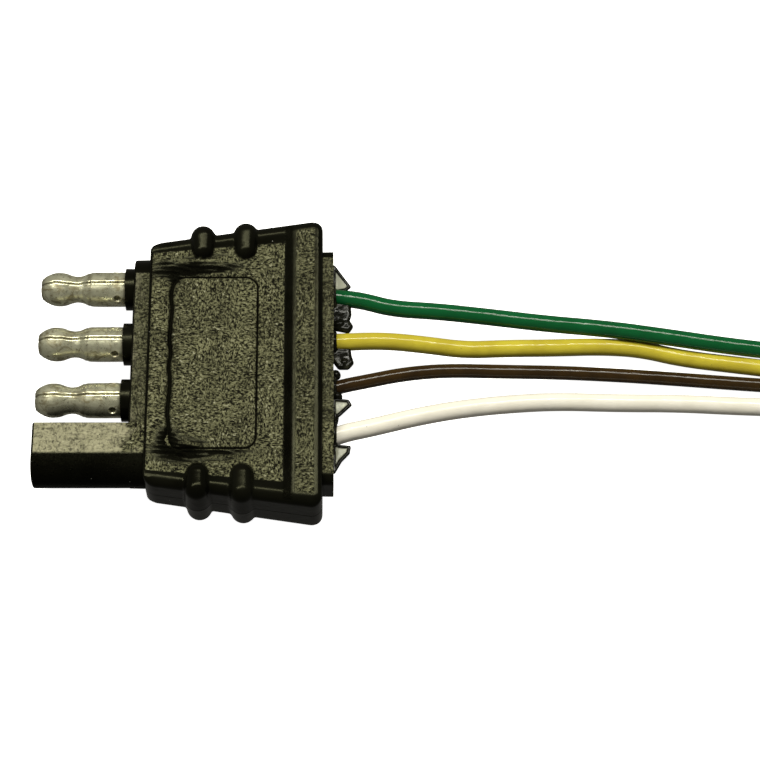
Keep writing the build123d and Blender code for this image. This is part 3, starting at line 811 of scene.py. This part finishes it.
def point_normals(points, faces):
    """Area-weighted normals of a surface at its points, from its quads."""
    quads = np.array([f for f in faces if len(f) == 4])
    across = np.cross(points[quads[:, 2]] - points[quads[:, 0]], points[quads[:, 3]] - points[quads[:, 1]])
    normals = np.zeros_like(points)
    for corner in range(4):
        np.add.at(normals, quads[:, corner], across)
    return normals / np.maximum(np.linalg.norm(normals, axis=1), 1e-12)[:, None]


def make_shell(name, node, flip, cutter):
    """A cover shell with its grip ribs, hollowed for the core. The lower one is flipped over."""
    points, faces, mask = shell_points(flaws=not flip)
    normals = point_normals(points, faces)
    rim = points[:, 2] < 1e-6
    normals[points[:, 2] < UPRIGHT_Z, 2] = 0
    raised = raise_ribs(points, normals)
    mask = mask * smooth_between(0.12, 0.02, raised)
    points[rim, 2] = 0
    outwards = np.sign(points[rim, :2] - (SHELL_MIDDLE_X, 0)) * abs(normals[rim, :2])
    points[rim, :2] -= PARTING_BEVEL * outwards
    points[:, 1] += SHELL_SHIFT_Y
    if flip:
        points = points * (1, 1, -1)
        faces = [f[::-1] for f in faces]
    piece = mesh_object(name, points, faces, mask=mask)
    hollow = piece.modifiers.new("hollow", "BOOLEAN")
    hollow.operation = "DIFFERENCE"
    hollow.solver = "EXACT"
    hollow.object = cutter
    apply_modifiers(piece)
    piece.data.shade_smooth()
    piece.data.set_sharp_from_angle(angle=radians(40))
    dress(piece, SHELL_PLASTIC)
    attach(piece, "root")
    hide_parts(node)


def apply_modifiers(piece):
    """Keeps what a piece's modifiers make of it as its own mesh."""
    graph = bpy.context.evaluated_depsgraph_get()
    made = bpy.data.meshes.new_from_object(piece.evaluated_get(graph))
    piece.modifiers.clear()
    piece.data = made


# Bullet pins

PIN_X = (-13.6, -13.56, -13.3, -12.6, -11.7, -10.9, -10.1, -9.2, -8.4, -7.6, -6.7, -6.2, -5.6, -1.35)
PIN_R = (1.15, 1.3, 1.62, 2.08, 2.4, 2.45, 2.35, 2.04, 1.9, 2.02, 2.38, 2.48, 2.5, 2.5)
PIN_ROOT_X = 2.0
HIDDEN_R, NECK_R = 2.3, 2.2
SEAM_DEPTH, SEAM_WIDTH = 0.22, 0.08
SEAM_WAVER = 2.2
HOLE_X = -2.5
HOLE_ANGLE = 58.0
HOLE_R = 0.46
HOLE_DEPTH = 0.7
HOLE_LIP = 0.045
CREASE_X, CREASE_DEPTH = -6.55, 0.05
DENTS = 7


def smooth_curve(x_known, y_known, x):
    """A curve through known points with slopes taken from their neighbours."""
    x_known, y_known = np.asarray(x_known, float), np.asarray(y_known, float)
    slope = np.gradient(y_known, x_known)
    i = np.clip(np.searchsorted(x_known, x) - 1, 0, len(x_known) - 2)
    width = x_known[i + 1] - x_known[i]
    t = np.clip((x - x_known[i]) / width, 0, 1)
    rise = (2 * t**3 - 3 * t**2 + 1) * y_known[i] + (3 * t**2 - 2 * t**3) * y_known[i + 1]
    return rise + width * ((t**3 - 2 * t**2 + t) * slope[i] + (t**3 - t**2) * slope[i + 1])


def make_pin(colour, seed):
    """A rolled bullet pin: a seam along its top, two holes by its root and a nick at its nose."""
    random = np.random.default_rng(seed)
    stations = spaced(
        [PIN_X[0], -13.0, -6.9, -6.2, -3.2, -1.8, PIN_ROOT_X], [0.05, 0.13, 0.08, 0.2, 0.05, 0.35],
    )
    by_holes = [np.arange(middle - 14, middle + 14.1, 1.4) for middle in (HOLE_ANGLE, -HOLE_ANGLE)]
    angles = [np.linspace(-180, 180, 97), np.arange(-9, 9.1, 0.75), *by_holes]
    angles = np.unique(np.concatenate(angles))[:-1]
    x, angle = np.meshgrid(stations, angles, indexing="ij")
    radius = smooth_curve(PIN_X, PIN_R, x)
    radius = np.where(x > -1.3, HIDDEN_R, radius)
    waver = 0.5 * np.sin(x * 1.3 + seed) + 0.35 * np.sin(x * 3.1 + 2 * seed)
    from_seam = (angle - waver * smooth_between(-6.4, -7.5, x) * SEAM_WAVER) * radius * pi / 180
    nose = smooth_between(-12.9, -13.6, x)
    radius -= SEAM_DEPTH * np.exp(-(from_seam / (SEAM_WIDTH + 0.14 * nose)) ** 2) * (1 + 1.6 * nose)
    radius += 0.035 * np.exp(-((abs(from_seam) - 0.3) / 0.16) ** 2)
    radius -= CREASE_DEPTH * np.exp(-((x - CREASE_X - 0.12 * np.cos(np.radians(angle))) / 0.1) ** 2)
    # The mask darkens the seam, the crease, the insides of the holes, the nose and the root
    darkening = 0.6 * np.exp(-((from_seam / 0.12) ** 2)) + 0.35 * np.exp(-((x - CREASE_X) / 0.25) ** 2)
    darkening += 0.5 * smooth_between(-12.6, -13.5, x) + 0.3 * smooth_between(-2.0, -1.4, x)
    for side in (-1, 1):
        off = np.hypot(x - HOLE_X, (angle - side * HOLE_ANGLE) * radius * pi / 180)
        radius = radius - HOLE_DEPTH * smooth_between(HOLE_R + 0.07, HOLE_R - 0.05, off)
        radius = radius + HOLE_LIP * np.exp(-((off - HOLE_R - 0.16) / 0.09) ** 2)
        darkening += smooth_between(HOLE_R, HOLE_R - 0.12, off)
    for _ in range(DENTS):
        bx, ba, size = random.uniform(-13, -2), random.uniform(-120, 60), random.uniform(0.3, 0.9)
        off = np.hypot(x - bx, (angle - ba) * NECK_R * pi / 180)
        radius = radius - random.uniform(0.012, 0.04) * np.exp(-((off / size) ** 2))
    turn = np.radians(angle)
    points = np.stack([x, CONTACT_Y[colour] - radius * np.sin(turn), radius * np.cos(turn)], -1)
    points = points.reshape(-1, 3)
    index = np.arange(x.size).reshape(x.shape)
    index = np.column_stack([index, index[:, 0]])
    faces = list(grid_faces(index)) + [index[0, :-1], index[-1, :-1][::-1]]
    piece = mesh_object(f"pin_{colour}", points, faces, sharp_angle=55, mask=np.clip(darkening, 0, 1).ravel())
    dress(piece, TINNED)
    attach(piece, "root")
    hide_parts(f"bullet_terminal_{colour}")


# Potting

# Lumps of potting round each wire: middle x, y, z, half sizes along x, y, z, and turn about Z
LUMPS = {
    "green": [(29.0, 11.9, 0.0, 0.5, 1.8, 1.5, 0), (29.6, 7.6, 0.2, 0.9, 0.5, 0.5, 10)],
    "yellow": [(29.0, 4.8, 0.0, 0.5, 1.8, 1.5, 0), (30.4, 1.5, 0.1, 0.6, 0.5, 0.5, 12)],
    "brown": [
        (29.0, -2.3, 0.0, 0.5, 1.6, 1.3, 0), (29.2, -0.6, 0.4, 0.7, 0.8, 0.7, 25),
        (29.3, -3.9, 0.3, 0.8, 0.7, 0.8, -25),
    ],
    "white": [
        (29.0, -9.8, 0.0, 0.5, 2.0, 1.6, 0), (29.1, -7.0, 0.1, 0.5, 1.3, 0.8, 0),
        (29.1, -12.4, 0.1, 0.5, 1.8, 0.8, 0),
    ],
}
# Sheets of potting with a rounded rim, as outlines seen from above: thick black ones, thin pale ones
BLOCKS = {
    "green": [
        [(28.9, 11.2), (30.9, 11.0), (31.0, 9.2), (30.7, 8.2), (31.2, 7.3), (30.9, 6.8), (28.9, 7.2)],
    ],
    "yellow": [[(28.9, 3.6), (30.9, 3.4), (31.0, 2.6), (31.3, 1.6), (30.8, 1.0), (29.8, 1.0), (28.9, 2.0)]],
    "brown": [],
    "white": [],
}
TONGUES = {
    "green": [[(28.9, 16.7), (31.2, 13.4), (30.6, 12.9), (28.9, 12.6)]],
    "yellow": [],
    "brown": [],
    "white": [
        [(28.9, -4.5), (30.9, -4.7), (31.2, -5.3), (29.6, -6.9), (28.9, -7.2)],
        [(28.9, -11.6), (31.1, -11.8), (30.9, -12.7), (29.8, -13.9), (28.9, -15.6)],
    ],
}
BLOCK_Z, BLOCK_HALF = -0.1, 0.5
TONGUE_Z, TONGUE_HALF, RIM_R = 0.55, 0.1, 0.26
LUMP_START_X = 28.75
RIPPLE_HEIGHT = 0.04
VOXEL = 0.08


def ripple(points, seed, scale):
    """A smooth random height of about -1..1 at each point, for lumpy surfaces."""
    random = np.random.default_rng(seed)
    total = np.zeros(len(points))
    for octave in (1, 2, 4):
        for _ in range(4):
            way = random.normal(size=3) * scale * octave
            total += np.sin(points @ way + random.uniform(0, 2 * pi)) / octave / 3
    return total


def add_sheet(shape, outline, z, half, rim):
    """A flat sheet of resin over an outline, with a round bar along each of its edges."""
    lower, upper = ([shape.verts.new((x, y, z + side * half)) for x, y in outline] for side in (-1, 1))
    shape.faces.new(lower[::-1])
    shape.faces.new(upper)
    for i in range(len(outline)):
        shape.faces.new((upper[i], upper[i - 1], lower[i - 1], lower[i]))
    for start, end in zip(outline, outline[1:] + outline[:1]):
        a, b = Vector((*start, z)), Vector((*end, z))
        turn = (b - a).to_track_quat("Z", "Y").to_matrix().to_4x4()
        bmesh.ops.create_cone(
            shape, cap_ends=True, segments=12, radius1=rim, radius2=rim, depth=(b - a).length,
            matrix=Matrix.Translation((a + b) / 2) @ turn,
        )
        bmesh.ops.create_icosphere(shape, subdivisions=2, radius=rim, matrix=Matrix.Translation(a))


def thinness(points, tongues):
    """How much of a thin sheet each point is on: 1 well inside a tongue's rim, 0 elsewhere."""
    thin = np.zeros(len(points))
    for outline in tongues:
        corners = np.array(outline)
        inside = np.zeros(len(points), bool)
        nearest = np.full(len(points), 9.0)
        for a, b in zip(corners, np.roll(corners, -1, axis=0)):
            crosses = (a[1] > points[:, 1]) != (b[1] > points[:, 1])
            at_x = a[0] + (points[:, 1] - a[1]) * (b[0] - a[0]) / (b[1] - a[1] if b[1] != a[1] else 1.0)
            inside ^= crosses & (points[:, 0] < at_x)
            along = np.clip(((points[:, :2] - a) @ (b - a)) / ((b - a) @ (b - a)), 0, 1)
            off = points[:, :2] - a - along[:, None] * (b - a)
            nearest = np.minimum(nearest, np.linalg.norm(off, axis=1))
        thin = np.maximum(thin, inside * smooth_between(0.22, 0.4, nearest))
    return thin * smooth_between(0.3, 0.5, points[:, 2])


def make_potting(colour, seed):
    """Resin that has crept out round a wire, in lumps and thin tongues grown together."""
    shape = bmesh.new()
    for x, y, z, half_x, half_y, half_z, turn in LUMPS[colour]:
        place = Matrix.Translation((x, y, z)) @ Matrix.Rotation(radians(turn), 4, "Z")
        place = place @ Matrix.Diagonal((half_x, half_y, half_z, 1))
        bmesh.ops.create_icosphere(shape, subdivisions=4, radius=1, matrix=place)
    for outline in TONGUES[colour]:
        add_sheet(shape, outline, TONGUE_Z, TONGUE_HALF, RIM_R)
    for outline in BLOCKS[colour]:
        add_sheet(shape, outline, BLOCK_Z, BLOCK_HALF, BLOCK_HALF)
    shape.normal_update()
    points = np.array([v.co for v in shape.verts])
    normals = np.array([v.normal for v in shape.verts])
    moved = points + RIPPLE_HEIGHT * ripple(points, seed, 1.1)[:, None] * normals
    moved[:, 0] = np.maximum(moved[:, 0], LUMP_START_X)
    for vertex, co in zip(shape.verts, moved * MM):
        vertex.co = co
    data = bpy.data.meshes.new(f"ooze_{colour}")
    shape.to_mesh(data)
    shape.free()
    piece = bpy.data.objects.new(f"ooze_{colour}", data)
    bpy.context.scene.collection.objects.link(piece)
    grown = piece.modifiers.new("grown together", "REMESH")
    grown.mode = "VOXEL"
    grown.voxel_size = VOXEL * MM
    eased = piece.modifiers.new("eased", "SMOOTH")
    eased.iterations = 5
    apply_modifiers(piece)
    made = np.array([v.co for v in piece.data.vertices]) / MM
    set_mask(piece.data, thinness(made, TONGUES[colour]))
    piece.data.shade_smooth()
    dress(piece, POTTING)
    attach(piece, "root")
    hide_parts(f"potting_{colour}")


# Tie

TIE_ANGLE = 130.0
TIE_THICKNESS = 0.5
TIE_WIDTH = 4.0
TIE_ROUND = 1.3
TIE_INNER_GAP = 0.3
TIE_OUTER_GAP = 0.1
TIE_STEPS, TIE_SECTION_STEPS = 180, 28
TIE_EDGE = 0.3


def rounded_loop(half_u, half_v, corner, count):
    """Points evenly spaced round a rectangle with rounded corners, and their outward directions."""
    straight_u, straight_v = 2 * (half_u - corner), 2 * (half_v - corner)
    arc = pi / 2 * corner
    places, outwards = [], []
    total = 2 * (straight_u + straight_v) + 4 * arc
    for i in range(count):
        s = total * i / count
        for quarter, length in enumerate((straight_u, straight_v) * 2):
            if s <= length + arc:
                break
            s -= length + arc
        bend = max(0.0, s - length) / corner
        flat = min(s, length) - length / 2
        half = (half_v, half_u)[quarter % 2] - corner
        a = pi / 2 * quarter
        u, v = flat + corner * sin(bend), half + corner * cos(bend)
        places.append((u * cos(a) + v * sin(a), v * cos(a) - u * sin(a)))
        a += bend
        outwards.append((sin(a), cos(a)))
    return np.array(places), np.array(outwards)


def make_tie():
    """A soft strap round the coil, in one closed loop, with rounded edges."""
    low, high = (Vector(c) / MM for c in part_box("coil_tie"))
    inner = LANE_R["white"] - WIRE_D["white"] / 2 - TIE_INNER_GAP
    outer = LANE_R["green"] + WIRE_D["green"] / 2 + TIE_OUTER_GAP
    middle_r, middle_z = (inner + outer) / 2, (low.z + high.z) / 2
    half_u = (outer - inner) / 2 + TIE_THICKNESS / 2
    half_v = (high.z - low.z) / 2 - TIE_THICKNESS / 2
    places, outwards = rounded_loop(half_u, half_v, TIE_ROUND, TIE_STEPS)
    section_turn = np.linspace(0, 2 * pi, TIE_SECTION_STEPS, endpoint=False)
    across = np.sign(np.cos(section_turn)) * abs(np.cos(section_turn)) ** TIE_EDGE * TIE_WIDTH / 2
    thick = np.sin(section_turn) * TIE_THICKNESS / 2
    out = np.array((cos(radians(90 - TIE_ANGLE)), sin(radians(90 - TIE_ANGLE)), 0))
    up = np.array((0, 0, 1))
    aside = np.cross(up, out)
    centre = np.array((COIL_X, COIL_Y, middle_z)) + out * middle_r
    rings = []
    for (u, v), (du, dv) in zip(places, outwards):
        spot = centre + out * u + up * v
        way = out * du + up * dv
        rings.append(spot + aside * across[:, None] + way * thick[:, None])
    points = np.array(rings).reshape(-1, 3)
    index = np.arange(len(points)).reshape(len(places), -1)
    index = np.column_stack([index, index[:, 0]])
    index = np.vstack([index, index[0]])
    piece = mesh_object("strap", points, grid_faces(index), sharp_angle=60)
    dress(piece, STRAP)
    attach(piece, "root")
    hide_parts("coil_tie")


# Stage and light

FLOOR_Z = -5.7
STAGE_FLAT_R = 1500.0
STAGE_R = 3000.0
STAGE_WALL = 2500.0
STAGE_GLOW = 0.97
FLOOR = ((0.93, 0.93, 0.92), (0.95, 0.95, 0.94))

LIT_POINT = (15, 0, 0)
LIGHT_COLOUR = (1.0, 0.985, 0.88)
WORLD_COLOUR = (1.0, 0.98, 0.9)
WORLD_LIGHT = 0.16

# Each light's name, direction from the connector, distance, size and radiance
LIGHTS = (
    ("overhead", (-0.05, 0.26, 0.965), 700, (1000, 110), 12.0),
    ("strip", (-0.10, 0.34, 0.935), 650, (900, 28), 36.0),
)


def make_stage():
    """A pale, glowing studio floor that curves up to walls on all sides. It neither mirrors in the
    object nor lights it."""
    rings = [(300.0, 0), (STAGE_FLAT_R, 0)]
    bend = 0.35 * STAGE_R
    rings += [(STAGE_R - bend + bend * sin(a), bend - bend * cos(a)) for a in np.linspace(0, pi / 2, 10)]
    rings.append((STAGE_R, STAGE_WALL))
    turn = np.linspace(0, 2 * pi, 96, endpoint=False)
    points = np.array([[(r * cos(a), r * sin(a), FLOOR_Z + z) for a in turn] for r, z in rings])
    index = np.arange(len(rings) * len(turn)).reshape(len(rings), len(turn))
    faces = list(grid_faces(np.column_stack([index, index[:, 0]]))) + [index[0]]
    stage = mesh_object("stage", points.reshape(-1, 3), faces)
    n = Nodes("studio_floor")
    tone = n.blend(n.noise(0.01, 2.0), *FLOOR)
    dress(stage, n.finish(
        tone, n.band(n.noise(0.05), 0, 1, 0.8, 0.9), n.bump(n.noise(1.0), 0.005),
        Emission_Color=(1.0, 1.0, 1.0), Emission_Strength=STAGE_GLOW, Specular_IOR_Level=0.0,
    ))
    stage.visible_glossy = False
    stage.visible_diffuse = False


def make_light(name, way, distance, size, radiance):
    """A soft rectangular light at a distance along a direction, facing the connector."""
    data = bpy.data.lights.new(name, "AREA")
    data.shape = "RECTANGLE"
    data.size, data.size_y = size[0] * MM, size[1] * MM
    data.energy = radiance * pi * data.size * data.size_y
    data.color = LIGHT_COLOUR
    light = bpy.data.objects.new(name, data)
    way = Vector(way).normalized()
    light.location = Vector(LIT_POINT) * MM + way * distance * MM
    light.rotation_euler = way.to_track_quat("Z", "Y").to_euler()
    bpy.context.scene.collection.objects.link(light)


def make_world():
    """A weak even light from all round."""
    world = bpy.data.worlds.new("studio")
    world.use_nodes = True
    background = world.node_tree.nodes["Background"]
    background.inputs["Color"].default_value = (*WORLD_COLOUR, 1)
    background.inputs["Strength"].default_value = WORLD_LIGHT
    bpy.context.scene.world = world


# The connector

cutter = core_cutter()
make_shell("upper_cover", "upper_shell", False, cutter)
make_shell("lower_cover", "lower_shell", True, cutter)
bpy.data.objects.remove(cutter)
for seed, colour in enumerate(COLOURS):
    make_potting(colour, seed + 10)
    if colour != "white":
        make_pin(colour, seed + 20)
    dress(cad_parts[f"conductor_{colour}"], COPPER)
make_tie()
dress(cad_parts["core_moulding"], CORE_PLASTIC)
dress(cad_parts["socket_terminal_white"], TINNED)

make_stage()
for light in LIGHTS:
    make_light(*light)
make_world()
bpy.context.scene.view_settings.view_transform = "Standard"
